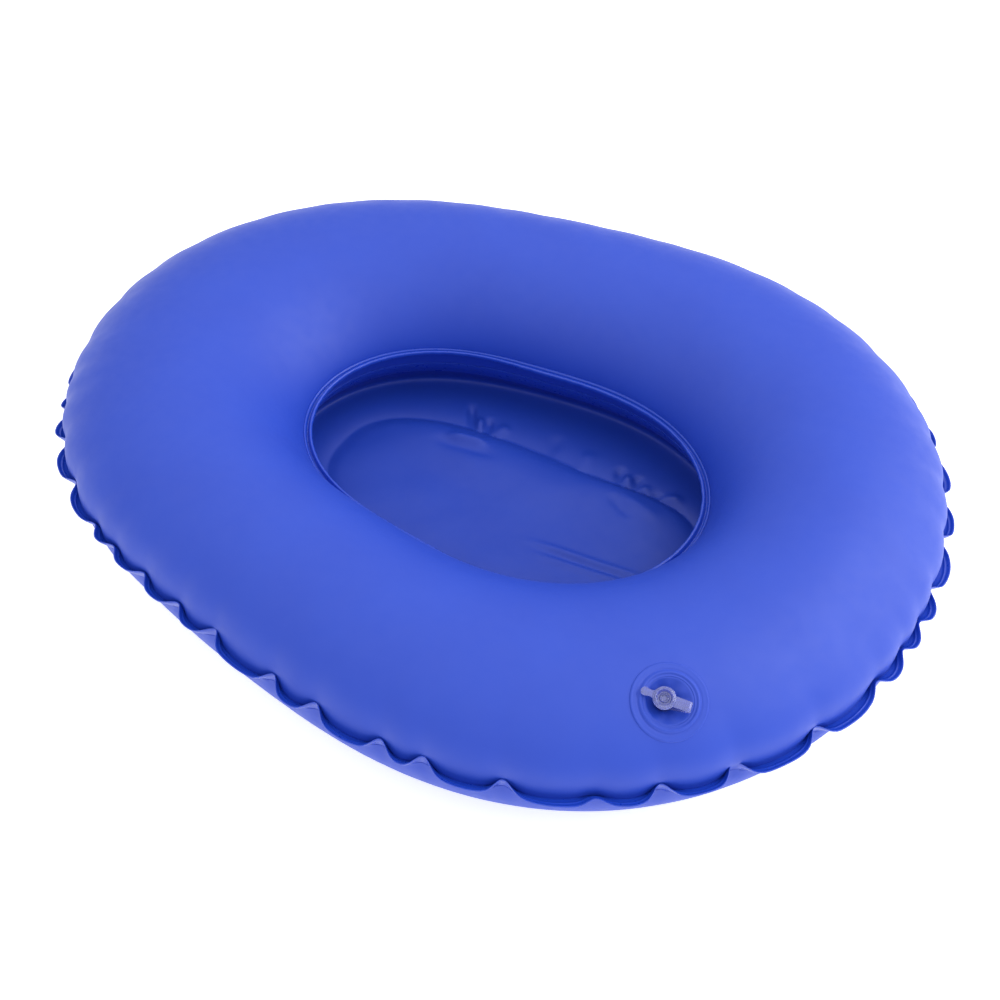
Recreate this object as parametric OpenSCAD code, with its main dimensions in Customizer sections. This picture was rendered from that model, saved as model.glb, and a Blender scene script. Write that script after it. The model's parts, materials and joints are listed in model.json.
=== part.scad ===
// Inflatable bedpan: an egg-shaped air ring of two welded PVC sheets round an open basin,
// with a soft inflation valve on its shoulder. Millimetres, +Z up, standing on z = 0.
// The origin is under the middle of the outline, and +X points to the broad end.

/* [Ring outline] */
// Length of the ring from seam to seam
ring_length = 474; // [440:1:500]
// Width of the ring from seam to seam
ring_width = 376; // [350:1:400]
// How much broader the front end of the ring is than the back end
ring_egg = 8.2; // [0:0.2:10]
// How far the ring's outline is squared off
ring_square = 0.8; // [0:0.1:2]

/* [Opening outline] */
// Length of the opening at the inner seam
rim_length = 230; // [200:1:250]
// Width of the opening at the inner seam
rim_width = 155; // [140:1:170]
// How much broader the front end of the opening is
rim_egg = 2.4; // [0:0.2:5]
// How far the opening's outline is drawn to points
rim_point = 1; // [0:0.1:2]
// How far the opening is moved towards the broad end
opening_offset = 9; // [0:0.5:15]

/* [Ring section] */
// Height of the inflated ring's crown
ring_height = 85; // [75:1:95]
// Height of the outer weld seam
outer_seam_z = 46; // [40:0.5:50]
// Height of the inner weld seam
inner_seam_z = 40; // [35:0.5:45]
// How far the outer seam dips at the two ends of the ring
seam_dip = 5; // [0:0.5:8]
// How far the ring bulges out over its seam at the two ends
end_bulge = 3.5; // [0:0.5:5]
// Fullness of the crown's inner half, from 0 for a flat arc to 1 for an ellipse
inner_full = 0.3; // [0:0.05:1]
// Fullness of the crown's outer half
outer_full = 0.85; // [0:0.05:1]
// How hard the underside is pressed flat, where 1 just touches the floor
floor_press = 1.04; // [1.02:0.01:1.08]
// Thickness of one PVC sheet
sheet = 0.6; // [0.4:0.1:1]

/* [Welds] */
// Width of the outer weld flange
flange_width = 6; // [4:0.5:9]
// Width of the inner weld rim
rim_band = 5; // [3:0.5:7]
// Depth to which the two sheets are fused behind each seam
fused = 1.6; // [1.2:0.1:2]

/* [Basin] */
// Length of the basin's floor
basin_length = 212; // [190:1:220]
// Width of the basin's floor
basin_width = 100; // [90:1:110]
// Squareness of the basin's floor, where 2 is an ellipse
basin_square = 2.6; // [2:0.1:3.5]

/* [Valve place] */
// Direction of the valve from the opening's middle, in degrees round the ring
valve_round = -38; // [-60:0.5:-20]
// Place of the valve across the ring, from 0 at the inner seam to 1 at the outer seam
valve_across = 0.81; // [0.6:0.01:0.82]
// Turn of the plug's strap about the valve, in degrees
valve_spin = -34; // [-180:1:180]
// Lean of the soft stem away from its strap, in degrees
valve_lean = 12; // [0:1:14]
// How far the stem stands off the dish's middle, away from its strap
stem_shift = 2; // [0:0.1:2.4]
// How far the stem hangs down the ring's slope from the dish's middle
stem_drop = 0.8; // [0:0.1:1.5]

/* [Valve] */
// Outer radius of the welded patch
patch_r = 17.5; // [16:0.5:20]
// Radius of the patch's raised ring
crest_r = 13; // [12.6:0.1:13.4]
// Outer radius of the soft dish
dish_r = 10.8; // [10.4:0.1:11]
// Outer radius of the stem
stem_r = 4.1; // [3.8:0.1:4.4]
// Radius of the stem's bore
bore_r = 2.6; // [2.4:0.1:2.9]
// Height of the stem's mouth above the ring
mouth_z = 3; // [2.6:0.1:4]
// Depth of the stem's inner end below the ring
stem_depth = 9; // [8:0.5:12]
// Radius of the plug's collar
collar_r = 5.3; // [5:0.1:5.8]
// Height of the plug's collar
collar_h = 2.1; // [1.8:0.1:2.6]
// Width of the strap
strap_width = 4.9; // [4:0.1:5.2]
// Distance from the bore's axis to the strap's fold
fold_x = 12; // [11.6:0.1:12.6]
// Distance from the bore's axis to the tip of the pull tab
tab_reach = 10.8; // [9:0.1:11.5]
// Width of the pull tab
tab_width = 3.8; // [3:0.1:4.4]

/* [Hidden] */

pvc_blue = "royalblue";
weld_blue = "mediumblue";
clear_vinyl = "lightsteelblue";

around = 96; // sections round the ring
across = 12; // steps across one sheet
step = 0.01; // small step for the slope of the ring's skin
$fn = 64;

// ---- outlines ----

function plan(t, long, wide, egg, square, centre) =
  let (r = (long + wide) / 4 + (long - wide) / 4 * cos(2 * t)
    - egg * cos(3 * t) - square * (cos(4 * t) - 1))
  [r * cos(t) + egg + centre, r * sin(t)];

function outer_plan(t) = plan(t, ring_length, ring_width, ring_egg, ring_square, 0);
function inner_plan(t) =
  plan(t, rim_length, rim_width, rim_egg, -rim_point, opening_offset);

function unit(v) = v / norm(v);

// ---- the ring's section: w runs outwards from the inner seam, z up ----

function chord(t) = norm(outer_plan(t) - inner_plan(t));
function seam_z(u) = inner_seam_z + u * (outer_seam_z - inner_seam_z);

// height of the upper sheet's outer face, between a circular arc and an ellipse
function top_z(u, c) =
  let (
    rise = ring_height - seam_z(0.5) - sheet,
    arc_r = (c * c / 4 + rise * rise) / (2 * rise),
    off = c * (u - 0.5),
    arc = sqrt(arc_r * arc_r - off * off) - (arc_r - rise),
    oval = rise * sqrt(max(0, 1 - pow(2 * u - 1, 2))),
    full = u < 0.5 ? inner_full : outer_full
  )
  seam_z(u) + sheet + arc + (oval - arc) * full;

// height of the lower sheet's outer face, an ellipse pressed flat on the floor
function bottom_z(u) =
  let (round = sqrt(max(0, 1 - pow(2 * u - 1, 2))))
  max(0, (seam_z(u) - sheet) * (1 - floor_press * round));

function top_point(i, c) =
  let (u = (1 - cos(180 * i / across)) / 2) [u * c, top_z(u, c)];
function bottom_point(i, c) =
  let (u = (1 - cos(180 * i / across)) / 2) [u * c, bottom_z(u)];

// a point of a curve moved square to it by d, to its right as the curve runs
function moved(before, here, after, d) =
  let (along = unit(after - before)) here + d * [along[1], -along[0]];

dip_reach = 28; // height over and under the outer seam that dips with it
bulge_z = 60; // height of the bulge's middle
bulge_reach = 14; // height over and under its middle that bulges

// 1 at the middle of a band of heights, falling smoothly to 0 at its edges
function band(z, middle, reach) =
  let (off = (z - middle) / reach) pow(max(0, 1 - off * off), 2);

// how much the outer half of the section follows the ring's ends, from 0 to 1
function ends(t, w) =
  let (share = min(1, max(0, 2 * w / chord(t) - 1)))
  share * share * (3 - 2 * share) * pow(cos(t), 2);

// a section point stood up at t round the ring, with the dip and the bulge of the ends
function stand(t, p) =
  let (
    inner = inner_plan(t),
    out = unit(outer_plan(t) - inner),
    w = p[0] + end_bulge * ends(t, p[0]) * band(p[1], bulge_z, bulge_reach),
    z = p[1] - seam_dip * ends(t, p[0]) * band(p[1], outer_seam_z, dip_reach)
  )
  [inner[0] + out[0] * w, inner[1] + out[1] * w, z];

// the upper sheet's section at t, as one closed loop
function upper_loop(t) =
  let (c = chord(t))
  [
    for (i = [0:across]) top_point(i, c),
    [c, outer_seam_z],
    [c - fused, seam_z(1 - fused / c)],
    for (i = [across - 1:-1:1])
      moved(top_point(i - 1, c), top_point(i, c), top_point(i + 1, c), sheet),
    [fused, seam_z(fused / c)],
    [0, inner_seam_z],
  ];

// the lower sheet's section at t, as one closed loop
function lower_loop(t) =
  let (c = chord(t))
  [
    [0, inner_seam_z],
    [fused, seam_z(fused / c)],
    for (i = [1:across - 1])
      moved(bottom_point(i - 1, c), bottom_point(i, c), bottom_point(i + 1, c), -sheet),
    [c - fused, seam_z(1 - fused / c)],
    [c, outer_seam_z],
    for (i = [across:-1:0]) bottom_point(i, c),
  ];

// the flange's section, beyond the outer seam
function flange_loop(t) =
  let (c = chord(t))
  [
    [c, outer_seam_z + sheet],
    [c + flange_width, outer_seam_z + sheet],
    [c + flange_width, outer_seam_z - sheet],
    [c, outer_seam_z - sheet],
  ];

// the rim's section, inside the inner seam
function rim_loop(t) =
  [
    [-rim_band, inner_seam_z + sheet],
    [0, inner_seam_z + sheet],
    [0, inner_seam_z - sheet],
    [-rim_band, inner_seam_z - sheet],
  ];

// ---- closed skins from grids of points ----

// two triangles for each cell of a grid with m points to a row, split along either diagonal
function cells(i0, i1, m, k0, k1, crossed) =
  let (a = i0 * m + k0, b = i0 * m + k1, c = i1 * m + k1, d = i1 * m + k0)
  crossed ? [[a, d, b], [b, d, c]] : [[a, c, b], [a, d, c]];

// loops of equal length joined into one closed ring
module ring_of(loops, crossed = false) {
  n = len(loops);
  m = len(loops[0]);
  polyhedron(
    points = [for (loop = loops) for (p = loop) p],
    faces = [
      for (i = [0:n - 1])
        for (k = [0:m - 1])
          for (f = cells(i, (i + 1) % n, m, k, (k + 1) % m, crossed)) f
    ]
  );
}

function turn(i) = 360 * i / around;

module ring_sweep(upper) {
  ring_of([
    for (i = [0:around - 1])
      [for (p = upper ? upper_loop(turn(i)) : lower_loop(turn(i))) stand(turn(i), p)]
  ]);
}

// ---- basin ----

weld_top = 1; // the band's first step along the lower sheet, from the inner seam
weld_end = 2; // the band's last step
wall_steps = 6; // steps down the wall
floor_rings = 3; // steps from the floor's edge to its middle
bow_out = 21; // how far out under the ring the slack wall is drawn
bow_z = 1.8; // height at which it is drawn out
ramp = 0.62; // share of the way out from the floor's edge at which the wall lies down
ramp_z = 3; // height of the wall there

function lower_stand(i, t, d) =
  let (c = chord(t))
  stand(t, moved(bottom_point(i - 1, c), bottom_point(i, c), bottom_point(i + 1, c), d));

function floor_edge(t) =
  let (
    x = cos(t),
    y = sin(t),
    r = 1 / pow(
      pow(abs(x) * 2 / basin_length, basin_square) + pow(abs(y) * 2 / basin_width, basin_square),
      1 / basin_square
    )
  )
  [r * x + opening_offset, r * y, 0];

// a point of the wall's curve, from the weld at s = 0 under the ring to the floor at s = 1
function wall_point(t, s, lift) =
  let (
    r = 1 - s,
    high = lower_stand(weld_end, t, lift > 0 ? 2 * sheet : sheet),
    under = stand(t, [bow_out - 1.2 * lift, bow_z + 0.9 * lift]),
    low = floor_edge(t) + [0, 0, lift],
    back = low + (under - low) * ramp,
    down = [back[0], back[1], ramp_z + lift]
  )
  pow(r, 4) * high + (4 * pow(r, 3) * s + 6 * r * r * s * s) * under
    + 4 * r * pow(s, 3) * down + pow(s, 4) * low;

// rows of points from the weld to near the floor's middle, on one face of the sheet
function basin_rows(t, lift) =
  [
    for (k = [0:wall_steps]) wall_point(t, k / wall_steps, lift),
    for (k = [1:floor_rings - 1])
      let (edge = floor_edge(t), s = 1 - k / floor_rings)
      [(edge[0] - opening_offset) * s + opening_offset, edge[1] * s, lift],
  ];

// ---- valve frame: x along the strap, z out of the ring ----

function skin_at(t, u) = stand(t, [u * chord(t), top_z(u, chord(t))]);

valve_point = skin_at(valve_round, valve_across);
slope_t = (skin_at(valve_round + step, valve_across) - valve_point) / step;
slope_u = (skin_at(valve_round, valve_across + step) - valve_point) / step;
valve_out = unit(cross(slope_u, slope_t));
round_dir = unit(slope_t);
across_dir = cross(valve_out, round_dir);
strap_dir = cos(valve_spin) * round_dir + sin(valve_spin) * across_dir;
side_dir = cross(valve_out, strap_dir);

module at_valve() {
  multmatrix([
    [strap_dir[0], side_dir[0], valve_out[0], valve_point[0]],
    [strap_dir[1], side_dir[1], valve_out[1], valve_point[1]],
    [strap_dir[2], side_dir[2], valve_out[2], valve_point[2]],
  ])
    children();
}

module at_stem() {
  at_valve()
    translate([-stem_shift, -stem_drop, 0]) rotate([0, -valve_lean, 0]) children();
}

// the ring's skin near the valve, at r and a in the valve's frame, raised by h
function near_valve(r, a, h) =
  let (
    du = -r * sin(a) / norm(slope_u),
    dt = r * cos(a) / norm(slope_t)
  )
  skin_at(valve_round + dt, valve_across + du) + h * valve_out;

// a point at r, a, z in the stem's own frame
function in_stem(r, a, z) =
  let (
    x = r * cos(a) * cos(valve_lean) - z * sin(valve_lean) - stem_shift,
    y = r * sin(a) - stem_drop,
    up = r * cos(a) * sin(valve_lean) + z * cos(valve_lean)
  )
  valve_point + x * strap_dir + y * side_dir + up * valve_out;

patch_steps = 48; // points round the patch and the dish
clear = 0.3; // gap between pieces that move past each other
hole_gap = 0.8; // how much larger the sheet's hole is than the dish

// ---- parts ----

module upper_ring_sheet() {
  color(pvc_blue)
    difference() {
      ring_sweep(true);
      at_valve() cylinder(r = dish_r + hole_gap, h = 30, center = true);
    }
}

module lower_ring_sheet() {
  color(pvc_blue) ring_sweep(false);
}

module outer_weld_flange() {
  color(weld_blue)
    ring_of([
      for (i = [0:around - 1])
        [for (p = flange_loop(turn(i))) stand(turn(i), p)]
    ]);
}

module inner_weld_rim() {
  color(weld_blue)
    ring_of([
      for (i = [0:around - 1])
        [for (p = rim_loop(turn(i))) stand(turn(i), p)]
    ]);
}

// its facets are split like the lower sheet's, so that the two lie face to face
module basin_weld_band() {
  color(weld_blue)
    ring_of(
      [
        for (i = [0:around - 1])
          [
            lower_stand(weld_top, turn(i), 0),
            lower_stand(weld_end, turn(i), 0),
            lower_stand(weld_end, turn(i), sheet),
            lower_stand(weld_top, turn(i), sheet),
          ]
      ],
      crossed = true
    );
}

module basin_sheet() {
  rows = len(basin_rows(0, 0));
  inside = [for (i = [0:around - 1]) for (p = basin_rows(turn(i), sheet)) p];
  outside = [for (i = [0:around - 1]) for (p = basin_rows(turn(i), 0)) p];
  half = around * rows;
  color(pvc_blue)
    polyhedron(
      points = concat(inside, outside, [[opening_offset, 0, sheet], [opening_offset, 0, 0]]),
      faces = [
        for (i = [0:around - 1])
          let (j = (i + 1) % around)
          each [
            for (k = [0:rows - 2])
              each [
                [i * rows + k, j * rows + k + 1, j * rows + k],
                [i * rows + k, i * rows + k + 1, j * rows + k + 1],
                [half + i * rows + k, half + j * rows + k, half + j * rows + k + 1],
                [half + i * rows + k, half + j * rows + k + 1, half + i * rows + k + 1],
              ],
            [i * rows, j * rows, half + j * rows],
            [i * rows, half + j * rows, half + i * rows],
            [i * rows + rows - 1, 2 * half, j * rows + rows - 1],
            [half + i * rows + rows - 1, half + j * rows + rows - 1, 2 * half + 1],
          ],
      ]
    );
}

// welded patch with a raised ring, following the curve of the upper sheet
module valve_patch() {
  profile = [
    [dish_r + 1, 0], [patch_r, 0], [patch_r, 0.5], [patch_r - 1.4, 0.9],
    [patch_r - 2.6, 0.6], [crest_r + 1.4, 0.6], [crest_r, 1.5],
    [crest_r - 1.4, 1.1], [dish_r + 1, 0.6],
  ];
  color(pvc_blue)
    ring_of([
      for (i = [0:patch_steps - 1])
        [for (p = profile) near_valve(p[0], -360 * i / patch_steps, p[1])]
    ]);
}

// soft skin between the patch and the stem, which lets the stem be pushed in or pulled out
module valve_dish() {
  color(pvc_blue)
    ring_of([
      for (i = [0:patch_steps - 1])
        let (a = 360 * i / patch_steps, b = a + valve_spin)
        [
          near_valve(dish_r, b, 0.2),
          near_valve(dish_r, b, -0.6),
          in_stem(6.2, a, -4.2),
          in_stem(stem_r + clear, a, -4.2),
          in_stem(stem_r + clear, a, -3.4),
          in_stem(6.8, a, -3.4),
        ]
    ]);
}

// clear tube with a root flange inside the dish
module valve_stem() {
  color(clear_vinyl)
    at_stem()
      rotate_extrude()
        polygon([
          [bore_r, mouth_z], [bore_r, -stem_depth], [stem_r, -stem_depth],
          [stem_r, -5.6], [6.4, -5.6], [6.4, -4.5], [stem_r, -4.5], [stem_r, mouth_z],
        ]);
}

strap_thick = 1.1; // thickness of the strap
strap_z = mouth_z + clear; // underside of the strap
root_z = -3.1; // underside of the post where it leaves the stem

// lower leg of the strap, which slants from the stem's root out to the fold
module tether_post() {
  top = strap_z - clear;
  color(clear_vinyl)
    at_stem()
      difference() {
        rotate([90, 0, 0])
          linear_extrude(strap_width, center = true)
            polygon([
              [0, root_z], [stem_r + 1.6, root_z], [fold_x, top - 0.6],
              [fold_x, top], [fold_x - 1.4, top], [stem_r + 1, root_z + 1.2],
              [0, root_z + 1.2],
            ]);
        cylinder(r = stem_r, h = 40, center = true);
      }
}

// flat strap from its round fold to the plug's collar
module plug_tether() {
  color(clear_vinyl)
    at_stem()
      translate([0, 0, strap_z]) {
        linear_extrude(strap_thick)
          difference() {
            translate([0, -strap_width / 2]) square([fold_x, strap_width]);
            circle(r = collar_r + clear);
          }
        translate([fold_x, 0, strap_thick / 2])
          rotate([90, 0, 0]) cylinder(r = strap_thick / 2, h = strap_width, center = true);
      }
}

nub_depth = 4.2; // how far the plug's nub reaches into the bore
nub_r = bore_r - 0.08; // radius of the nub under the collar
nub_taper = 0.85; // how much narrower the nub is at its tip, so that it swings out
nub_hollow = 1; // radius of the nub's own hollow

// plug: collar with a groove and a dimple, and a rounded pull tab
module valve_plug() {
  base = strap_z;
  top = base + collar_h;
  tab_end = -tab_reach + tab_width / 2;
  color(clear_vinyl)
    at_stem() {
      rotate_extrude()
        polygon([
          [0, base + 0.7], [0.7, base + 0.7], [0.9, top - 0.5], [1.9, top - 0.5],
          [2.1, base + 1], [3.2, base + 1], [3.5, top], [collar_r - 0.5, top],
          [collar_r, top - 0.5], [collar_r, base], [0, base],
        ]);
      translate([0, 0, base])
        linear_extrude(strap_thick)
          difference() {
            union() {
              translate([tab_end, 0]) circle(d = tab_width);
              translate([tab_end, -tab_width / 2]) square([-tab_end, tab_width]);
            }
            circle(r = collar_r - 0.2);
          }
    }
}

// hollow tapered nub under the collar, which seals the bore
module plug_nub() {
  tip = strap_z - nub_depth;
  color(clear_vinyl)
    at_stem()
      rotate_extrude()
        polygon([
          [nub_hollow, strap_z], [nub_r, strap_z],
          [nub_r - nub_taper, tip], [nub_hollow, tip],
        ]);
}

flap_r = stem_r - 0.2; // radius of the check flap
flap_thick = 0.6; // thickness of the check flap
flap_width = 2.4; // width of the flap's round hinge bead

// thin disc that closes the stem's inner end, on a round hinge bead
module check_flap() {
  color(clear_vinyl)
    at_stem()
      translate([0, 0, -stem_depth - clear - flap_thick]) {
        cylinder(r = flap_r, h = flap_thick);
        translate([flap_r, 0, flap_thick / 2])
          rotate([90, 0, 0]) cylinder(r = flap_thick / 2, h = flap_width, center = true);
      }
}

upper_ring_sheet();
lower_ring_sheet();
outer_weld_flange();
inner_weld_rim();
basin_sheet();
basin_weld_band();
valve_patch();
valve_dish();
valve_stem();
tether_post();
plug_tether();
valve_plug();
plug_nub();
check_flap();
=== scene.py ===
import json
import math

import bpy
import numpy as np
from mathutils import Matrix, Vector


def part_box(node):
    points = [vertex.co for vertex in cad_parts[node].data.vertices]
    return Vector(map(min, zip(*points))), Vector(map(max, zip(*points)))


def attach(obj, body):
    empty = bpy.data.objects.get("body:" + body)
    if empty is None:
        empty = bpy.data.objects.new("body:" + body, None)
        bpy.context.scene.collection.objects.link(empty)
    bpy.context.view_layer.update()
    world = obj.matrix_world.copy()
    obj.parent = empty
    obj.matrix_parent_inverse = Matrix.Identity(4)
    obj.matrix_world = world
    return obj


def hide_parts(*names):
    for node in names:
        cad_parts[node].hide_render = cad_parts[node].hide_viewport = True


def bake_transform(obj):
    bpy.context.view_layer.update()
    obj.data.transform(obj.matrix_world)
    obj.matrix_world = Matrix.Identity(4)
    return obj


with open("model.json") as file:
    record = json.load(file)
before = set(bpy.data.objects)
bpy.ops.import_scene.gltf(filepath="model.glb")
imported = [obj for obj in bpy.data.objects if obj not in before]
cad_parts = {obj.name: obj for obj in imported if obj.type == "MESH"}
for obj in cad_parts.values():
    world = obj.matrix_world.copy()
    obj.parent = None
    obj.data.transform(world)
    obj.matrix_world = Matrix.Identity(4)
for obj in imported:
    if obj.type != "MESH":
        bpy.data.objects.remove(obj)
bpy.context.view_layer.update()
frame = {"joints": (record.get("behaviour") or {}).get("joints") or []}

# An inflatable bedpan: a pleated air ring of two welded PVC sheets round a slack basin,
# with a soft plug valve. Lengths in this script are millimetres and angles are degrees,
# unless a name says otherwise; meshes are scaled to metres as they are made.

MM = 0.001
SHEET = 0.6  # thickness of the PVC sheets


def corners(node):
    """Lowest and highest corner of a CAD node, in millimetres."""
    low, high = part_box(node)
    return np.array(low) / MM, np.array(high) / MM


# ---- sizes from the frame ----

ring_low, ring_high = corners("upper_ring_sheet")
_, flange_high = corners("outer_weld_flange")
rim_low, rim_high = corners("inner_weld_rim")
joints = {joint["name"]: joint for joint in frame["joints"]}

RING_LENGTH = ring_high[0] - ring_low[0]
CROWN_Z = ring_high[2]
OUTER_SEAM_Z = flange_high[2] - SHEET
INNER_SEAM_Z = (rim_low[2] + rim_high[2]) / 2
RIM_BAND = 5  # width of the inner weld

# ---- outlines, as in the CAD model ----

RING_WIDTH = 376  # across the outer seam
RING_EGG = 8.2  # how egg-shaped the outer seam is
RING_SQUARE = 0.8  # and how squarish
RIM_LENGTH = rim_high[0] - rim_low[0]  # along the inner seam
RIM_WIDTH = 155
RIM_EGG = 2.4
RIM_POINT = 1  # how much more pointed than an oval the inner seam is
OPENING_OFFSET = 9  # the opening's middle, along the ring
INNER_FULL = 0.3  # section of the inner half, from 0 for a flat arc to 1 for an ellipse
OUTER_FULL = 0.85  # and of the outer half
FLOOR_PRESS = 1.04  # how hard the ring is pressed on the floor
SEAM_DIP = 5  # how far the outer seam dips at the two ends of the ring
DIP_REACH = 28  # and how far above and below it the ring dips with it
END_BULGE = 3.5  # how far the ring bulges out over its seam at the two ends
BULGE_Z = 60  # height of the bulge's middle
BULGE_REACH = 14  # and how far above and below it the bulge fades out
SHOULDER_PUSH = 3  # how much fuller its left shoulder is than in the CAD model
SHOULDER_ANGLE = 216  # direction of that shoulder
SHOULDER_SPREAD = 0.045  # and its spread, as a drop in the cosine of the angle


def turned(degrees):
    return np.radians(np.asarray(degrees, float))


def plan(t, length, width, egg, square, centre):
    """Egg-shaped outline at the angles t, in radians."""
    r = (length + width) / 4 + (length - width) / 4 * np.cos(2 * t)
    r = r - egg * np.cos(3 * t) - square * (np.cos(4 * t) - 1)
    return np.stack([r * np.cos(t) + egg + centre, r * np.sin(t)], -1)


def outer_plan(t):
    return plan(t, RING_LENGTH, RING_WIDTH, RING_EGG, RING_SQUARE, 0)


def inner_plan(t):
    return plan(t, RIM_LENGTH, RIM_WIDTH, RIM_EGG, -RIM_POINT, OPENING_OFFSET)


def unit(v):
    return v / np.linalg.norm(v, axis=-1, keepdims=True)


def bell(x, width):
    return np.exp(-((x / width) ** 2))


def smooth_step(x, low, high):
    s = np.clip((x - low) / (high - low), 0, 1)
    return s * s * (3 - 2 * s)


# ---- pleats of the outer seam ----

# angles round the ring of the pleats on the valve's side
SEEN_PLEATS = [
    199.5, 204, 209.5, 217.5, 226, 231, 238, 246, 254, 266.5, 274.5, 285, 291,
    301, 311.5, 319, 328, 339, 349.5, 355.5, 360.5, 366, 374.5, 382, 390,
]
# how far each of them stands up
SEEN_HEIGHTS = [
    1, 1.05, 0.95, 0.8, 0.6, 0.6, 0.7, 0.75, 0.95, 0.9, 0.9, 0.85, 0.9,
    0.85, 0.4, 0.8, 1, 0.8, 0.6, 0.6, 0.6, 0.75, 0.9, 0.95, 1,
]
OVERLAP_PLEAT = 14  # the pleat at which the ring's ends overlap, which hardly stands up
OTHER_PLEATS = 19  # pleats on the far side, about as far apart
PLEAT_SHIFT = 6  # and how far each of them may be shifted
PLEAT_COLUMNS = 24  # columns of the mesh from one pleat to the next
PLEAT_CROWD = 0.6  # how much closer together the columns are at the pleats
PLEAT_NARROW = 5.2  # half width of a pleat's crest
PLEAT_WIDE = 10  # and of the dent that it makes
LONG_LOBE = 30  # a lobe between pleats at least this long swells fully
# how far a pleat's crest, its dent and a lobe draw the skin in at the seam, and the
# distance over which each fades along the skin
UPPER_DRAW = [(2.5, 9), (0.7, 24), (-1.3, 12)]
LOWER_DRAW = [(2.5, 5), (0, 24), (-0.6, 6)]
UPPER_REST = 0.3  # how far the upper skin stands out between them

# distance along the outer seam, tabled against the angle
dense_t = np.linspace(0, 2 * math.pi, 7201)
steps = np.linalg.norm(np.diff(outer_plan(dense_t), axis=0), axis=1)
dense_arc = np.concatenate([[0], np.cumsum(steps)])
PERIMETER = dense_arc[-1]


def arc_at(t):
    """Distance along the outer seam at the angles t, in radians."""
    turns = np.floor(t / (2 * math.pi))
    return np.interp(t - turns * 2 * math.pi, dense_t, dense_arc) + turns * PERIMETER


def make_pleats():
    """Places of the pleats along the seam, and how far each stands up."""
    rng = np.random.default_rng(11)
    seen = arc_at(turned(SEEN_PLEATS))
    first, last = seen[-1], seen[0] + PERIMETER
    gap = (last - first) / (OTHER_PLEATS + 1)
    other = first + gap * np.arange(1, OTHER_PLEATS + 1)
    other = other + rng.uniform(-PLEAT_SHIFT, PLEAT_SHIFT, OTHER_PLEATS)
    places = np.concatenate([seen, other])
    heights = np.concatenate([SEEN_HEIGHTS, rng.uniform(0.7, 1.05, OTHER_PLEATS)])
    places = places % PERIMETER
    order = np.argsort(places)
    return places[order], heights[order]


pleat_arc, pleat_height = make_pleats()
overlap_arc = arc_at(turned(SEEN_PLEATS[OVERLAP_PLEAT]))
pleat_gap = np.diff(np.append(pleat_arc, pleat_arc[0] + PERIMETER))


def column_arcs():
    """Places of the mesh's columns along the seam, closer together near the pleats."""
    x = np.arange(PLEAT_COLUMNS) / PLEAT_COLUMNS
    x = x - PLEAT_CROWD * np.sin(2 * math.pi * x) / (2 * math.pi)
    return (pleat_arc[:, None] + pleat_gap[:, None] * x).ravel()


def waves(arc):
    """How near each place on the seam is to a pleat, narrowly and widely, and to a lobe."""
    arc = np.asarray(arc, float)
    gap = arc[..., None] - pleat_arc
    gap = gap - PERIMETER * np.round(gap / PERIMETER)
    near = (bell(gap, PLEAT_NARROW) * pleat_height).sum(-1)
    wide = (bell(gap, PLEAT_WIDE) * pleat_height).sum(-1)
    place = np.searchsorted(pleat_arc, arc % PERIMETER, side="right") - 1
    x = ((arc - pleat_arc[place]) % PERIMETER) / pleat_gap[place]
    lobe = np.sin(math.pi * x) ** 2 * np.minimum(1, pleat_gap[place] / LONG_LOBE)
    return near, wide, lobe


def drawn_in(arc, height, upper=True):
    """How far the skin is drawn in at a height along it from the outer seam."""
    draws = UPPER_DRAW if upper else LOWER_DRAW
    total = -UPPER_REST if upper else 0
    for wave, (draw, fade) in zip(waves(arc), draws):
        total = total + draw * wave * np.exp(-height / fade)
    return total


# ---- the ring's section ----


def seam_z(u):
    return INNER_SEAM_Z + u * (OUTER_SEAM_Z - INNER_SEAM_Z)


def top_z(u, chord):
    """Height of the upper sheet's outer face, between a flat arc and an ellipse."""
    rise = CROWN_Z - seam_z(0.5) - SHEET
    arc_r = (chord * chord / 4 + rise * rise) / (2 * rise)
    off = chord * (u - 0.5)
    arc = np.sqrt(arc_r * arc_r - off * off) - (arc_r - rise)
    oval = rise * np.sqrt(np.maximum(0, 1 - (2 * u - 1) ** 2))
    full = INNER_FULL + (OUTER_FULL - INNER_FULL) * smooth_step(u, 0.4, 0.6)
    return seam_z(u) + SHEET + arc + (oval - arc) * full


def bottom_z(u):
    """Height of the lower sheet's outer face, an ellipse pressed flat on the floor."""
    oval = np.sqrt(np.maximum(0, 1 - (2 * u - 1) ** 2))
    return np.maximum(0, (seam_z(u) - SHEET) * (1 - FLOOR_PRESS * oval))


def frame_at(t):
    """Inner seam, outward direction and chord of the ring at the angles t."""
    inner = inner_plan(t)
    across = outer_plan(t) - inner
    chord = np.linalg.norm(across, axis=-1)
    return inner, across / chord[..., None], chord


def band(z, middle, reach):
    """1 at the middle of a band of heights, falling smoothly to 0 at its edges."""
    return np.maximum(0, 1 - ((z - middle) / reach) ** 2) ** 2


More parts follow.
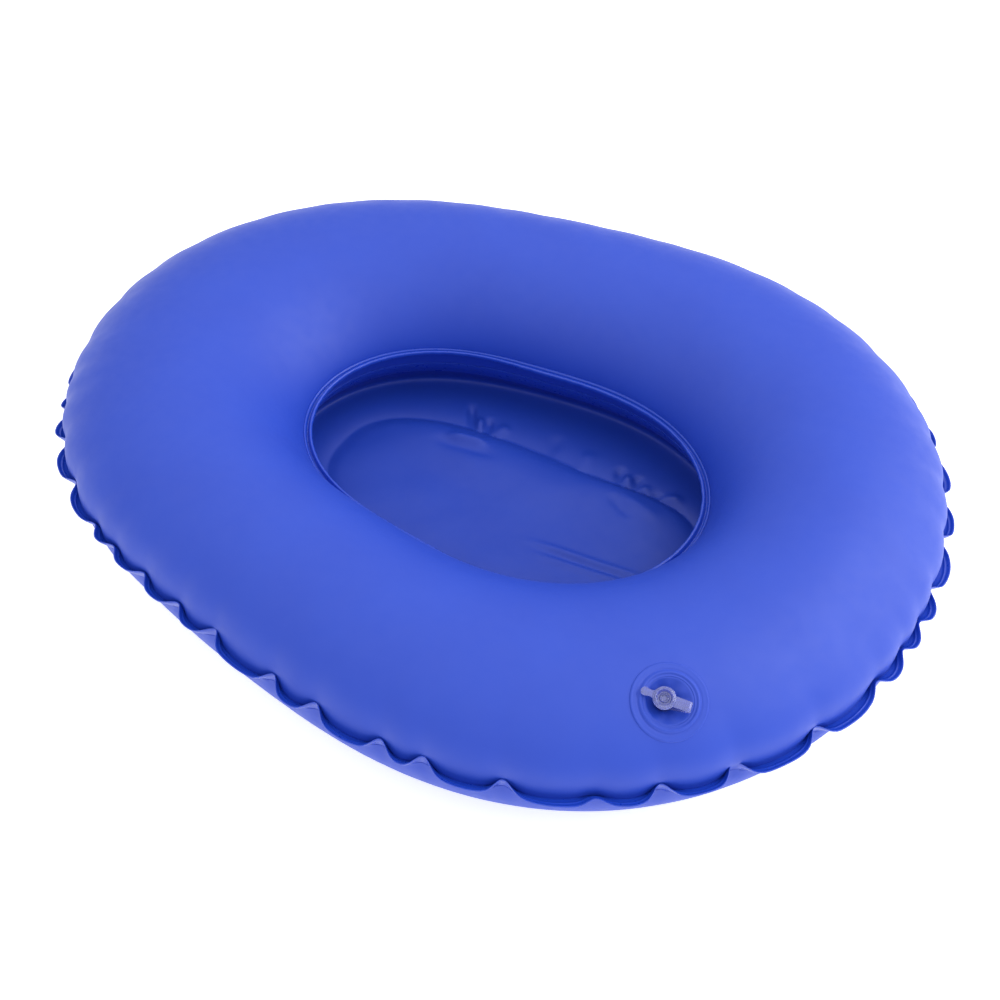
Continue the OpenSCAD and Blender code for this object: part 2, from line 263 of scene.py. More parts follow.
def stand(t, w, z):
    """Points at w outwards from the inner seam and z up, at the angles t.

    The outer half dips and bulges at the two ends of the ring, and is fuller at the
    left shoulder.
    """
    inner, out, chord = frame_at(t)
    w, z = np.asarray(w, float), np.asarray(z, float)
    outer = smooth_step(2 * w / chord - 1, 0, 1)
    ends = outer * np.cos(t) ** 2
    aside = np.cos(t - turned(SHOULDER_ANGLE)) - 1
    shoulder = SHOULDER_PUSH * outer * bell(aside, SHOULDER_SPREAD)
    w, z = (
        w + shoulder + END_BULGE * ends * band(z, BULGE_Z, BULGE_REACH),
        z - SEAM_DIP * ends * band(z, OUTER_SEAM_Z, DIP_REACH),
    )
    flat = inner + out * np.broadcast_to(w, inner.shape[:-1])[..., None]
    return np.concatenate([flat, np.broadcast_to(z, flat.shape[:-1])[..., None]], -1)


# slight unevenness of the filled ring: height, waves round it, phase, turn across it
RIPPLES = [(0.2, 5, 0.6, 2), (0.1, 9, -1.1, 4)]


def ripple(t, u):
    """Slight unevenness of the filled ring, fading at its seams."""
    slow = sum(high * np.sin(count * t + phase + turn * u) for high, count, phase, turn in RIPPLES)
    return slow * np.sin(math.pi * np.clip(u, 0, 1)) ** 2


def skin(t, u, upper):
    """Outer face of a ring sheet at the angles t and places u, and the way out of it.

    The result has the shape of t and u together; u runs from inner to outer seam.
    """
    t, u = np.broadcast_arrays(t, u)
    _, out, chord = frame_at(t)
    h = 0.002
    low_u, high_u = np.clip(u - h, 0, 1), np.clip(u + h, 0, 1)

    def height(v):
        return top_z(v, chord) if upper else bottom_z(v)

    run = (high_u - low_u) * chord
    rise = height(high_u) - height(low_u)
    slope = np.hypot(run, rise)
    sign = 1 if upper else -1
    normal_w, normal_z = -sign * rise / slope, sign * run / slope
    # distance along the skin from the outer seam, near enough for the pleats' fading
    down = chord * (1 - u)
    along = np.hypot(down, height(u) - OUTER_SEAM_Z)
    moved = ripple(t, u) - drawn_in(arc_at(t), along, upper)
    w = u * chord + normal_w * moved
    z = height(u) + normal_z * moved
    if not upper:
        z = np.maximum(0, z)
    point = stand(t, w, z)
    normal = np.concatenate([out * normal_w[..., None], normal_z[..., None]], -1)
    return point, normal


def section_steps(count):
    """Places across a sheet, closest together near the outer seam."""
    x = np.arange(count + 1) / count
    turn = math.pi * (1 - (1 - x) ** 1.4)
    return (1 - np.cos(turn)) / 2


# ---- meshes ----


def new_piece(name, points, faces, material, sharp=60):
    """A mesh object from points in millimetres."""
    mesh = bpy.data.meshes.new(name)
    mesh.from_pydata((np.asarray(points) * MM).tolist(), [], faces)
    mesh.validate()
    piece = bpy.data.objects.new(name, mesh)
    bpy.context.scene.collection.objects.link(piece)
    for polygon in mesh.polygons:
        polygon.use_smooth = True
    mesh.set_sharp_from_angle(angle=math.radians(sharp))
    mesh.materials.append(material)
    return piece


def loop_faces(columns, rows):
    """Quads that join loops of points into one closed ring, as an array."""
    i, k = np.meshgrid(np.arange(columns), np.arange(rows), indexing="ij")
    j, n = (i + 1) % columns, (k + 1) % rows
    quads = np.stack([i * rows + k, j * rows + k, j * rows + n, i * rows + n], -1)
    return quads


def ring_piece(name, loops, material, sharp=60):
    """A closed ring from an array of loops: columns, points in a loop, x y z."""
    columns, rows = loops.shape[:2]
    quads = loop_faces(columns, rows).reshape(-1, 4).tolist()
    return new_piece(name, loops.reshape(-1, 3), quads, material, sharp)


def lathe_faces(profile, count):
    """Points and faces of a profile of (radius, height) turned about the z axis.

    The profile runs up the outside; an end on the axis closes with triangles.
    """
    points, rings, faces = [], [], []
    turn = 2 * math.pi * np.arange(count) / count
    for radius, height in profile:
        if radius < 1e-6:
            rings.append([len(points)])
            points.append([0, 0, height])
            continue
        rings.append(list(range(len(points), len(points) + count)))
        points += [[radius * math.cos(a), radius * math.sin(a), height] for a in turn]
    closed = len(rings[0]) > 1
    pairs = list(zip(rings, rings[1:] + rings[:1])) if closed else list(zip(rings, rings[1:]))
    for low, high in pairs:
        for i in range(count):
            j = (i + 1) % count
            if len(low) == 1:
                faces.append([low[0], high[j], high[i]])
            elif len(high) == 1:
                faces.append([low[i], low[j], high[0]])
            else:
                faces.append([low[i], low[j], high[j], high[i]])
    return np.array(points), faces


# ---- ring sheets ----

UPPER_ROWS = 44
LOWER_ROWS = 34
LOWER_INNER_ROWS = 10
HOLE_R = 16.8  # hole in the upper sheet under the valve's patch

columns_arc = column_arcs()
columns_t = np.interp(columns_arc % PERIMETER, dense_arc, dense_t)


LOBE_LIFT = 30  # degrees the flange stands up in the lobes
END_DROOP = 26  # and how much less at the two ends
PLEAT_LIFT = 88  # and in the pleats
LIFT_SWAY = (4, 61)  # how much that varies round the ring, and over what distance
OVERLAP_DROOP = (12, 36)  # how much lower it is near the ends' overlap, and its half width
SEAM_LIFT = 0.7  # how far the pleats draw the seam up


def seam_edge(t, lift_side):
    """Points on the flange's root, above the weld at 1 and below it at -1."""
    middle, out, lift = seam_line(t)
    normal = flange_normal(out, lift)
    return middle + lift_side * SHEET * normal


def seam_line(t):
    """Middle of the outer seam, the outward direction and the flange's lift in radians."""
    _, out, chord = frame_at(t)
    near, wide, _ = waves(arc_at(t))
    w = chord - drawn_in(arc_at(t), 0)
    middle = stand(t, w, OUTER_SEAM_Z + SEAM_LIFT * np.minimum(near, 1))
    sway, sway_length = LIFT_SWAY
    droop, droop_width = OVERLAP_DROOP
    lie = LOBE_LIFT - END_DROOP * np.cos(t) ** 4 + sway * np.sin(arc_at(t) / sway_length)
    lie = lie - droop * bell(arc_at(t) - overlap_arc, droop_width)
    raised = np.clip(0.85 * near + 0.2 * wide, 0, 1)
    lift = turned(lie) * (1 - raised) + turned(PLEAT_LIFT) * raised
    return middle, out, lift


def flange_normal(out, lift):
    return np.concatenate([-out * np.sin(lift)[..., None], np.cos(lift)[..., None]], -1)


def upper_ring(material):
    """Upper sheet: outer and inner face, with a hole under the valve."""
    u = section_steps(UPPER_ROWS)
    outside, normal = skin(columns_t[:, None], u[None, :], True)
    outside[:, -1] = seam_edge(columns_t, 1)
    inside = outside - SHEET * normal
    inside[:, -1] = seam_line(columns_t)[0]
    inside[:, 0] = outside[:, 0] - [0, 0, SHEET]
    loops = np.concatenate([outside, inside[:, ::-1]], 1)
    columns, rows = loops.shape[:2]
    quads = loop_faces(columns, rows)
    near = np.linalg.norm(outside - valve_point, axis=-1) < HOLE_R
    corner = near & np.roll(near, -1, 0)
    hole = corner[:, :-1] & corner[:, 1:]
    keep = np.ones((columns, rows), bool)
    keep[:, : UPPER_ROWS] &= ~hole
    keep[:, UPPER_ROWS + 1 : rows - 1] &= ~hole[:, ::-1]
    faces = quads[keep].tolist()
    faces += hole_walls(hole, rows)
    return new_piece("upper_ring", loops.reshape(-1, 3), faces, material)


def hole_walls(hole, rows):
    """Quads round a hole that goes through both faces of a sheet."""
    walls = []
    columns = hole.shape[0]
    for i, k in np.argwhere(hole):
        j = (i + 1) % columns
        before = (i - 1) % columns
        sides = [
            (hole[before, k], (i, k), (i, k + 1)),
            (hole[j, k], (j, k + 1), (j, k)),
            (hole[i, k - 1], (j, k), (i, k)),
            (hole[i, k + 1], (i, k + 1), (j, k + 1)),
        ]
        for inside, a, b in sides:
            if not inside:
                over = [a[0] * rows + a[1], b[0] * rows + b[1]]
                under = [b[0] * rows + rows - 1 - b[1], a[0] * rows + rows - 1 - a[1]]
                walls.append([int(v) for v in over + under])
    return walls


def lower_ring(material):
    """Lower sheet: outer face pressed on the floor, and a coarser inner face."""
    u = section_steps(LOWER_ROWS)
    outside, normal = skin(columns_t[:, None], u[None, :], False)
    outside[:, -1] = seam_edge(columns_t, -1)
    picked = np.linspace(0, LOWER_ROWS, LOWER_INNER_ROWS).round().astype(int)
    inside = outside[:, picked] - SHEET * normal[:, picked]
    inside[:, -1] = seam_line(columns_t)[0]
    inside[:, 0] = outside[:, 0] + [0, 0, SHEET]
    loops = np.concatenate([inside, outside[:, ::-1]], 1)
    return ring_piece("lower_ring", loops, material)


# ---- welds ----

# the flange's upper face: distance from the seam and height over its middle
FLANGE_FACE = [
    (-0.9, 0.5), (0.3, 0.5), (1, 0.42), (1.8, 0.42), (2.5, 0.45), (2.8, 0.68), (3.1, 0.74),
    (3.4, 0.66), (3.7, 0.44), (4.4, 0.46), (5.2, 0.48), (5.8, 0.44), (6.1, 0.25),
]
LIP = 6.2  # the flange's edge at its middle


def flange(material):
    """Outer weld flange, which lies out in the lobes and stands up in the pleats."""
    middle, out, lift = seam_line(columns_t)
    near, _, lobe = waves(columns_arc)
    under = [(w, -0.45 if w < 5.9 else -0.2) for w, _ in FLANGE_FACE[::-3]]
    profile = FLANGE_FACE + [(LIP, 0)] + under
    uneven = 0.18 * np.sin(columns_arc / 7.3) + 0.12 * np.sin(columns_arc / 3.1 + 1)
    loops = []
    for w, h in profile:
        curl = turned(10) * lobe * smooth_step(w, 2, LIP) - turned(6) * near
        angle = lift + curl * max(w, 0) / LIP
        reach = w + (uneven if w > 4 else 0)
        along = np.concatenate(
            [out * np.cos(angle)[:, None], np.sin(angle)[:, None]], -1
        )
        loops.append(middle + along * np.reshape(reach, (-1, 1)) + flange_normal(out, angle) * h)
    loops = np.stack(loops, 1)
    return ring_piece("weld_flange", loops[:, ::-1], material, sharp=75)


# the rim's upper face: distance from the inner seam and height over its middle
RIM_FACE = [
    (-1.3, 0.35), (-0.5, 0.5), (-0.1, 0.85), (0.25, 1.3), (0.7, 1.5), (1.15, 1.35), (1.5, 0.7),
    (1.75, 0), (2.05, -0.35), (2.5, -0.35), (2.8, 0), (3, 0.6), (3.3, 1.3), (3.8, 1.6),
    (4.3, 1.6), (4.7, 1.35), (4.95, 0.85),
]
RIM_COLUMNS = 720


def rim_tilt(t):
    """How far the rim's free edge stands above its seam."""
    return 0.5 + 0.35 * np.sin(3 * t + 0.5) + 0.2 * np.sin(8 * t + 2)


def weld_rim(material):
    """Inner weld band round the opening, with a bead along each edge."""
    t = 2 * math.pi * np.arange(RIM_COLUMNS) / RIM_COLUMNS
    under = [(v, -0.55) for v, _ in RIM_FACE[::-3]]
    profile = RIM_FACE + [(RIM_BAND, 0.4), (RIM_BAND, -0.25)] + under
    frayed = 0.1 * np.sin(53 * t) * np.sin(7 * t) + 0.07 * np.sin(131 * t + 1)
    loops = []
    for v, h in profile:
        edge = frayed if v > 4 else 0
        z = INNER_SEAM_Z + h + rim_tilt(t) * max(v, 0) / RIM_BAND
        loops.append(stand(t, -v + edge, z))
    return ring_piece("weld_rim", np.stack(loops, 1), material, sharp=75)


# ---- basin ----

BASIN_COLUMNS = 400
WELD_TOP_U = 0.017  # the basin's weld to the lower sheet: its start and end across the ring
WELD_END_U = 0.067
FLOOR_LENGTH = 212  # the crease round the floor
FLOOR_WIDTH = 100
FLOOR_SQUARE = 2.6  # its exponent, where 2 is an ellipse
WALL_ROWS = 44
FLOOR_ROWS = 44
BOW_OUT = 21  # where the slack wall is drawn to, out under the ring
BOW_Z = 1.8
RAMP = 0.42  # where it turns towards the crease, as a share of the way out
RAMP_Z = 6
FLOOR_Z = 0.3  # the film's underside at the crease
FULL_CORNER = 30  # direction of the floor's fuller corner
CORNER_FULL = 0.17  # how much fuller it is
CORNER_SPREAD = 0.3  # and its half width, in radians
# the floor's rise from the crease on the far and near side: height, rise, fade
FAR_CROWN = (5.4, 11, 70)
NEAR_CROWN = (1.6, 8, 40)
FOLD_GAIN = 2.3  # how much higher the wall's folds are than listed

basin_t = 2 * math.pi * np.arange(BASIN_COLUMNS) / BASIN_COLUMNS

# ridges and valleys of the slack film: x, y of both ends, height and half width
WALL_FOLDS = [
    (-48, 62, -37, 44, -1.5, 2.2), (-38, 56, -34, 46, 1.1, 2.2), (-33, 58, -30, 47, -1.4, 2),
    (-21, 58, -26, 46, 0.9, 3), (50, 61, 57, 47, -1.5, 2.2), (56, 58, 61, 48, 1.3, 2.2),
    (62, 60, 65, 49, -1.4, 2), (67, 55, 73, 50, 1.2, 2.6), (78, 55, 76, 48, -1.3, 2),
    (90, 57, 79, 49, 1, 3), (8, 66, 10, 47, -0.5, 4), (30, 64, 32, 47, 0.5, 4),
]
FLOOR_FOLDS = [
    (-46, 34, -24, 39, 2.6, 3.4), (-52, 28, -16, 32, -1.2, 3.6), (34, -12, 100, -4, 1.3, 2.4),
    (42, -19, 96, -11, 1, 2.6), (40, -15, 98, -7.5, -0.9, 2), (-45, -8, 4, -22, 0.5, 9),
    (-60, 10, -20, 18, 0.4, 9), (56, 38, 72, 30, -1.2, 3), (62, 42, 86, 36, 1, 4),
    (0, 8, 60, 10, 0.4, 14), (-30, -30, 40, -40, 0.4, 8), (70, 12, 104, 20, 0.4, 7),
]


def folds(x, y, rows):
    """Height of soft ridges and valleys along straight lines at x, y."""
    total = np.zeros_like(x)
    for x0, y0, x1, y1, height, width in rows:
        dx, dy = x1 - x0, y1 - y0
        length = math.hypot(dx, dy)
        share = ((x - x0) * dx + (y - y0) * dy) / length**2
        off = ((x - x0) * dy - (y - y0) * dx) / length
        ends = smooth_step(share, -0.15, 0.3) * (1 - smooth_step(share, 0.7, 1.15))
        total = total + height * ends * bell(off, width)
    return total


def lower_band(t, u, lift):
    """The lower sheet's outer face at t and u, raised by lift."""
    point, normal = skin(t, u, False)
    return point + lift * normal


def floor_edge(t):
    """The crease where the basin's wall meets its floor."""
    x, y = np.cos(t), np.sin(t)
    r = (np.abs(x * 2 / FLOOR_LENGTH) ** FLOOR_SQUARE
         + np.abs(y * 2 / FLOOR_WIDTH) ** FLOOR_SQUARE) ** (-1 / FLOOR_SQUARE)
    r = r * (1 + CORNER_FULL * bell(t - turned(FULL_CORNER), CORNER_SPREAD))
    return np.stack([r * x + OPENING_OFFSET, r * y], -1), r


def basin_wall(t, v):
    """The basin's inner face from its weld at v = 0 down to the crease at v = 1."""
    top = lower_band(t, WELD_END_U, 2 * SHEET)
    under = stand(t, np.full(t.shape, BOW_OUT - 1.2 * SHEET), BOW_Z + 0.9 * SHEET)
    edge, _ = floor_edge(t)
    low = np.concatenate([edge, np.full((*edge.shape[:-1], 1), FLOOR_Z + SHEET)], -1)
    down = low + (under - low) * RAMP
    down[..., 2] = RAMP_Z + SHEET
    v = v[..., None]
    r = 1 - v
    drawn = 4 * r**3 * v + 6 * r**2 * v**2
    return r**4 * top + drawn * under + 4 * r * v**3 * down + v**4 * low


def basin_floor(t, q):
    """The basin's inner face from the crease at q = 0 to its middle at q = 1."""
    edge, radius = floor_edge(t)
    centre = np.array([OPENING_OFFSET, 0])
    flat = edge + (centre - edge) * q[..., None]
    d = radius * q
    crown = 0
    sides = [(smooth_step(np.sin(t), 0.1, 0.6), FAR_CROWN),
             (smooth_step(-np.sin(t), 0, 0.7), NEAR_CROWN)]
    for side, (height, rise, fade) in sides:
        crown = crown + height * side * (1 - np.exp(-d / rise)) * np.exp(-d / fade)
    crown = crown * (1 - smooth_step(q, 0.4, 1))
    x, y = flat[..., 0], flat[..., 1]
    slack = 0.25 * np.sin(x / 13 + 1) * np.sin(y / 11) + 0.12 * np.sin(x / 7 - y / 9)
    inside = smooth_step(d, 0, 8)
    z = FLOOR_Z + SHEET + crown + (folds(x, y, FLOOR_FOLDS) + slack + 0.6) * inside
    return np.concatenate([flat, np.maximum(z, SHEET + 0.1)[..., None]], -1)


def basin(material):
    """Slack basin sheet hung from its weld, with a wall, a crease and a floor."""
    t = basin_t[:, None]
    v = np.linspace(0, 1, WALL_ROWS + 1)
    wall = basin_wall(t, np.broadcast_to(v, (BASIN_COLUMNS, v.size)))
    crease = FOLD_GAIN * folds(wall[..., 0], wall[..., 1], WALL_FOLDS)
    fade = smooth_step(v, 0.5, 0.72) * (1 - 0.5 * smooth_step(v, 0.88, 1))
    wall[..., 2] += crease * fade
    wall[..., 2] = np.maximum(wall[..., 2], SHEET + 0.1)
    q = (np.arange(1, FLOOR_ROWS) / FLOOR_ROWS) ** 1.25
    floor = basin_floor(t, np.broadcast_to(q, (BASIN_COLUMNS, q.size)))
    inside = np.concatenate([wall, floor], 1)
    outside = inside - face_normals(inside) * SHEET
    outside[..., 2] = np.maximum(outside[..., 2], 0)
    centre = np.array([OPENING_OFFSET, 0, inside[:, -1, 2].mean()])
    return cup_piece("basin", inside, outside, centre, material)


def face_normals(grid):
    """Normals of a grid that closes round its first axis, upward where it ends."""
    around = np.roll(grid, -1, 0) - np.roll(grid, 1, 0)
    inwards = np.gradient(grid, axis=1)
    normal = unit(np.cross(inwards, around))
    return normal * np.sign(normal[:, -1, 2].mean())


def cup_piece(name, inside, outside, centre, material):
    """A closed dish-shaped sheet from two grids and the middle of its inner face."""
    columns, rows = inside.shape[:2]
    points = np.concatenate(
        [inside.reshape(-1, 3), outside.reshape(-1, 3), [centre, centre - [0, 0, SHEET]]]
    )
    half = columns * rows
    faces = []
    for i in range(columns):
        j = (i + 1) % columns
        a, b = i * rows, j * rows
        for k in range(rows - 1):
            faces.append([a + k, b + k, b + k + 1, a + k + 1])
            faces.append([half + a + k, half + a + k + 1, half + b + k + 1, half + b + k])
        faces.append([a, half + a, half + b, b])
        end = rows - 1
        faces.append([a + end, b + end, 2 * half])
        faces.append([half + a + end, 2 * half + 1, half + b + end])
    return new_piece(name, points, faces, material)


def basin_band(material):
    """Weld of the basin to the lower ring sheet, thicker toward the basin."""
    t = basin_t
    share = np.array([0, 0.12, 0.25, 0.5, 0.75, 0.88, 1])
    ridge = np.array([0.25, 0.4, 0.5, 0.6, 0.75, 0.85, 0.95])
    loops = [lower_band(t, WELD_TOP_U, 0)]
    for s, lift in zip(share, ridge):
        u = WELD_TOP_U + (WELD_END_U - WELD_TOP_U) * s
        loops.append(lower_band(t, u, lift + SHEET / 2))
    loops.append(lower_band(t, WELD_END_U, 0))
    return ring_piece("basin_weld", np.stack(loops, 1), material)


# ---- valve ----

VALVE_T = turned(-38)  # the valve's direction from the middle
VALVE_U = 0.81  # and its place across the ring
FOLD_X = 12  # from the bore's axis to the strap's fold
DISH_R = 10.8
STEM_R = 4.1
BORE_R = 2.6
MOUTH_Z = 3  # height of the stem's mouth in the stem's own frame
COLLAR_R = 5.2
COLLAR_H = 2.1
STRAP_WIDTH = 4.9
STRAP_THICK = 1.1
STRAP_Z = MOUTH_Z + 0.3  # underside of the strap and the collar
HINGE_Z = STRAP_Z + STRAP_THICK / 2
TAB_REACH = 10.8  # from the bore's axis to the tab's tip
TAB_WIDTH = 3.8
VALVE_STEPS = 144  # points round the valve's patch and dish


def plain_skin(t, u):
    """The CAD model's own skin, with no pleats."""
    _, _, chord = frame_at(t)
    return stand(t, u * chord, top_z(np.asarray(u, float), chord))


def valve_frame():
    """The valve's place on the skin, and the skin's slopes and way out there."""
    h_t, h_u = turned(0.01), 0.001
    place = plain_skin(VALVE_T, VALVE_U)
    slope_t = (plain_skin(VALVE_T + h_t, VALVE_U) - place) / h_t
    slope_u = (plain_skin(VALVE_T, VALVE_U + h_u) - place) / h_u
    return place, slope_t, slope_u, unit(np.cross(slope_u, slope_t))


valve_point, slope_t, slope_u, valve_out = valve_frame()
valve_right = unit(slope_t)
valve_up = unit(np.cross(valve_out, valve_right))
stem_z = unit(np.array(joints["valve_pull_out"]["axis"], float))
stem_y = unit(np.array(joints["tether_swing"]["axis"], float))
stem_x = np.cross(stem_y, stem_z)
hinge = np.array(joints["tether_swing"]["pos_m"], float) / MM
stem_origin = hinge - FOLD_X * stem_x - HINGE_Z * stem_z


def near_valve(r, a, h):
    """The ring's skin at r and a round the valve, raised by h."""
    goal = np.stack([r * np.cos(a), r * np.sin(a)], -1)
    axes = np.stack([valve_right, valve_up])
    slopes = axes @ np.stack([slope_t, slope_u], -1)
    moved = np.zeros_like(goal)
    for _ in range(6):
        point, _ = skin(VALVE_T + moved[..., 0], VALVE_U + moved[..., 1], True)
        moved = moved + (goal - (point - valve_point) @ axes.T) @ np.linalg.inv(slopes).T
    return point + np.asarray(h)[..., None] * valve_out


def in_stem(points):
    """Points of the stem's own frame, placed on the ring."""
    points = np.asarray(points, float)
    return stem_origin + points @ np.stack([stem_x, stem_y, stem_z])


valve_turns = 2 * math.pi * np.arange(VALVE_STEPS) / VALVE_STEPS

# the patch's upper face: distance from the valve's middle and height over the skin
PATCH_FACE = [
    (17.7, -0.3), (17.6, 0.2), (17.3, 0.5), (16.9, 0.62), (16.5, 0.5), (16.1, 0.42),
    (15.3, 0.45), (14.7, 0.35), (14.3, 0.12), (14, 0.18), (13.6, 0.75), (13.1, 1.15),
    (12.6, 1.15), (12.2, 0.8), (11.9, 0.55), (11.5, 0.6), (11.1, 0.7), (10.9, 0.55),
]


def valve_patch(material):
    """Welded patch with a raised ring round the dish."""
    profile = PATCH_FACE + [(10.9, -0.4), (12.5, -0.5), (15, -0.5)]
    loops = []
    for r, h in profile:
        loops.append(near_valve(r, valve_turns, np.full(VALVE_STEPS, h)))
    return ring_piece("patch", np.stack(loops, 1), material)


# the dish's upper face: share of the way from its edge to the stem, and height
DISH_FACE = [
    (0, 0.35), (0.05, 0.5), (0.1, 0.4), (0.18, 0.05), (0.3, -0.45), (0.42, -0.95),
    (0.55, -1.5), (0.7, -2.15), (0.82, -2.75), (0.92, -3.35), (1, -3.7),
]
DISH_SKIN = 0.5  # thickness of the dish's skin


def dish(material):
    """Soft skin from the patch down to the stem's root."""
    spin = math.atan2(stem_x @ valve_up, stem_x @ valve_right)
    a = valve_turns
    edge = near_valve(DISH_R + 0.2, a + spin, np.zeros(VALVE_STEPS))
    root = in_stem(np.stack([STEM_R * np.cos(a), STEM_R * np.sin(a), 0 * a], -1))
    loops = []
    back = [(share, height - DISH_SKIN) for share, height in DISH_FACE[::-1]]
    for share, height in DISH_FACE + back:
        crease = 0.3 * np.sin(7 * a + 1) * np.sin(math.pi * share) ** 2
        up = valve_out * (1 - share) + stem_z * share
        loops.append(edge * (1 - share) + root * share + up * (height + crease)[:, None])
    return ring_piece("dish", np.stack(loops, 1)[::-1], material)


def stem(material):
    """Clear tube with a small root flange under the dish."""
    profile = [
        (BORE_R, -8.7), (BORE_R + 0.3, -9), (STEM_R - 0.3, -9), (STEM_R, -8.7), (STEM_R, -6.3),
        (4.9, -6.2), (5.1, -5.9), (5.1, -5.5), (4.9, -5.2), (STEM_R + 0.1, -5),
        (STEM_R - 0.15, -3.4), (STEM_R - 0.2, 1.6), (STEM_R, 2.1), (STEM_R, 2.7),
        (STEM_R - 0.3, MOUTH_Z), (BORE_R + 0.3, MOUTH_Z), (BORE_R, 2.7),
    ]
    points, faces = lathe_faces(profile, 72)
    return new_piece("stem", in_stem(points), faces, material)


def strap_loops(path):
    """Rounded strap section swept along a path of (x, z) in the stem's frame."""
    path = np.array(path, float)
    along = unit(np.gradient(path, axis=0))
    side = np.stack([-along[:, 1], along[:, 0]], -1)
    half_w, half_t, soft = STRAP_WIDTH / 2, STRAP_THICK / 2, 0.35
    section = []
    for corner_y, corner_s, start in ((1, 1, 0), (-1, 1, 90), (-1, -1, 180), (1, -1, 270)):
        for turn in (0, 30, 60, 90):
            a = math.radians(start + turn)
            section.append((corner_y * (half_w - soft) + soft * math.cos(a),
                            corner_s * (half_t - soft) + soft * math.sin(a)))
        if start == 0:
            section += [(half_w * 0.5, half_t - 0.28), (-half_w * 0.5, half_t - 0.28)]
    loops = []
    for place, normal in zip(path, side):
        loops.append([[place[0] + normal[0] * s, y, place[1] + normal[1] * s]
                      for y, s in section])
    return np.array(loops)


def strap_piece(name, path, material):
    """A strap with closed ends."""
    loops = strap_loops(path)
    count, size = loops.shape[:2]
    quads = []
    for i in range(count - 1):
        for k in range(size):
            n = (k + 1) % size
            a, b = i * size, (i + 1) * size
            quads.append([a + k, a + n, b + n, b + k])
    ends = [list(range(size))[::-1], [(count - 1) * size + k for k in range(size)]]
    return new_piece(name, in_stem(loops.reshape(-1, 3)), quads + ends, material, sharp=50)


def fold_path():
    """Lower leg from the stem's root, the round fold and the start of the upper leg."""
    leg = [(3.6, -2.4), (5, -2), (6.5, -1), (8, 0.2), (9.5, 1.3), (10.8, 2)]
    centre, radius = np.array([10.9, HINGE_Z - 0.95]), 0.95
    turns = np.radians(np.linspace(-60, 90, 9))
    bend = [tuple(centre + radius * np.array([math.cos(a), math.sin(a)])) for a in turns]
    return leg + bend + [(10.2, HINGE_Z), (9.6, HINGE_Z)]


def strap_pieces(material):
    """The strap as a fold between stem and strap, and an arm between strap and plug."""
    fold = strap_piece("strap_fold", fold_path(), material)
    arm_x = np.linspace(9.7, COLLAR_R - 0.5, 12)
    arm = strap_piece("strap_arm", [(x, HINGE_Z) for x in arm_x], material)
    return fold, arm


PLUG_BASE = STRAP_Z
PLUG_TOP = STRAP_Z + COLLAR_H
# the plug's outline from its middle under the collar, round and back to its dimple
PLUG_PROFILE = [
    (0, PLUG_BASE - 0.3), (0.9, PLUG_BASE - 0.3), (1, PLUG_BASE - 4.2), (1.75, PLUG_BASE - 4.2),
    (1.9, PLUG_BASE - 4), (2.5, PLUG_BASE - 0.1), (COLLAR_R - 0.3, PLUG_BASE),
    (COLLAR_R, PLUG_BASE + 0.35), (COLLAR_R, PLUG_BASE + 1.1), (COLLAR_R - 0.3, PLUG_BASE + 1.5),
    (4.35, PLUG_BASE + 1.6), (4.2, PLUG_TOP - 0.15), (3.95, PLUG_TOP + 0.05),
    (3.5, PLUG_TOP - 0.1), (3.2, PLUG_BASE + 0.9), (2.9, PLUG_BASE + 0.4),
    (2.2, PLUG_BASE + 0.35), (2, PLUG_BASE + 0.8), (1.7, PLUG_BASE + 0.95),
    (1.4, PLUG_BASE + 0.8), (1.2, PLUG_BASE + 0.4), (0.5, PLUG_BASE + 0.35), (0, PLUG_BASE + 0.5),
]


def tab_points():
    """Outline of the pull tab, narrow at its waist and round at its tip."""
    tip = TAB_REACH - TAB_WIDTH / 2
    turns = np.radians(np.linspace(90, 270, 15))
    end = [(-tip + TAB_WIDTH / 2 * math.cos(a), TAB_WIDTH / 2 * math.sin(a)) for a in turns]
    waist = [(-6.3, -1.45), (-5, -1.7), (-4, -2)]
    return end + waist + [(x, -y) for x, y in waist[::-1]]


def plug(material):
    """Plug: collar with grooves, dimple and nub, joined to its pull tab and softened."""
    points, faces = lathe_faces(PLUG_PROFILE, 96)
    outline = tab_points()
    base = len(points)
    low = [(x, y, PLUG_BASE + 0.1) for x, y in outline]
    high = [(x, y, PLUG_BASE + STRAP_THICK) for x, y in outline]
    count = len(outline)
    points = np.concatenate([points, low, high])
    faces.append([base + i for i in range(count)][::-1])
    faces.append([base + count + i for i in range(count)])
    for i in range(count):
        j = (i + 1) % count
        faces.append([base + i, base + j, base + count + j, base + count + i])
    piece = new_piece("plug", in_stem(points), faces, material)
    remesh = piece.modifiers.new("one_skin", "REMESH")
    remesh.mode = "VOXEL"
    remesh.voxel_size = 0.13 * MM
    soften = piece.modifiers.new("soften", "SMOOTH")
    soften.factor, soften.iterations = 0.5, 2
    apply_modifiers(piece)
    return piece


def apply_modifiers(piece):
    """Turns the piece's modifiers into its mesh."""
    graph = bpy.context.evaluated_depsgraph_get()
    made = bpy.data.meshes.new_from_object(piece.evaluated_get(graph))
    material = piece.data.materials[0]
    piece.modifiers.clear()
    piece.data = made
    if not made.materials:
        made.materials.append(material)
    for polygon in made.polygons:
        polygon.use_smooth = True


BEAD_STEPS = 16  # points round the flap's hinge bead


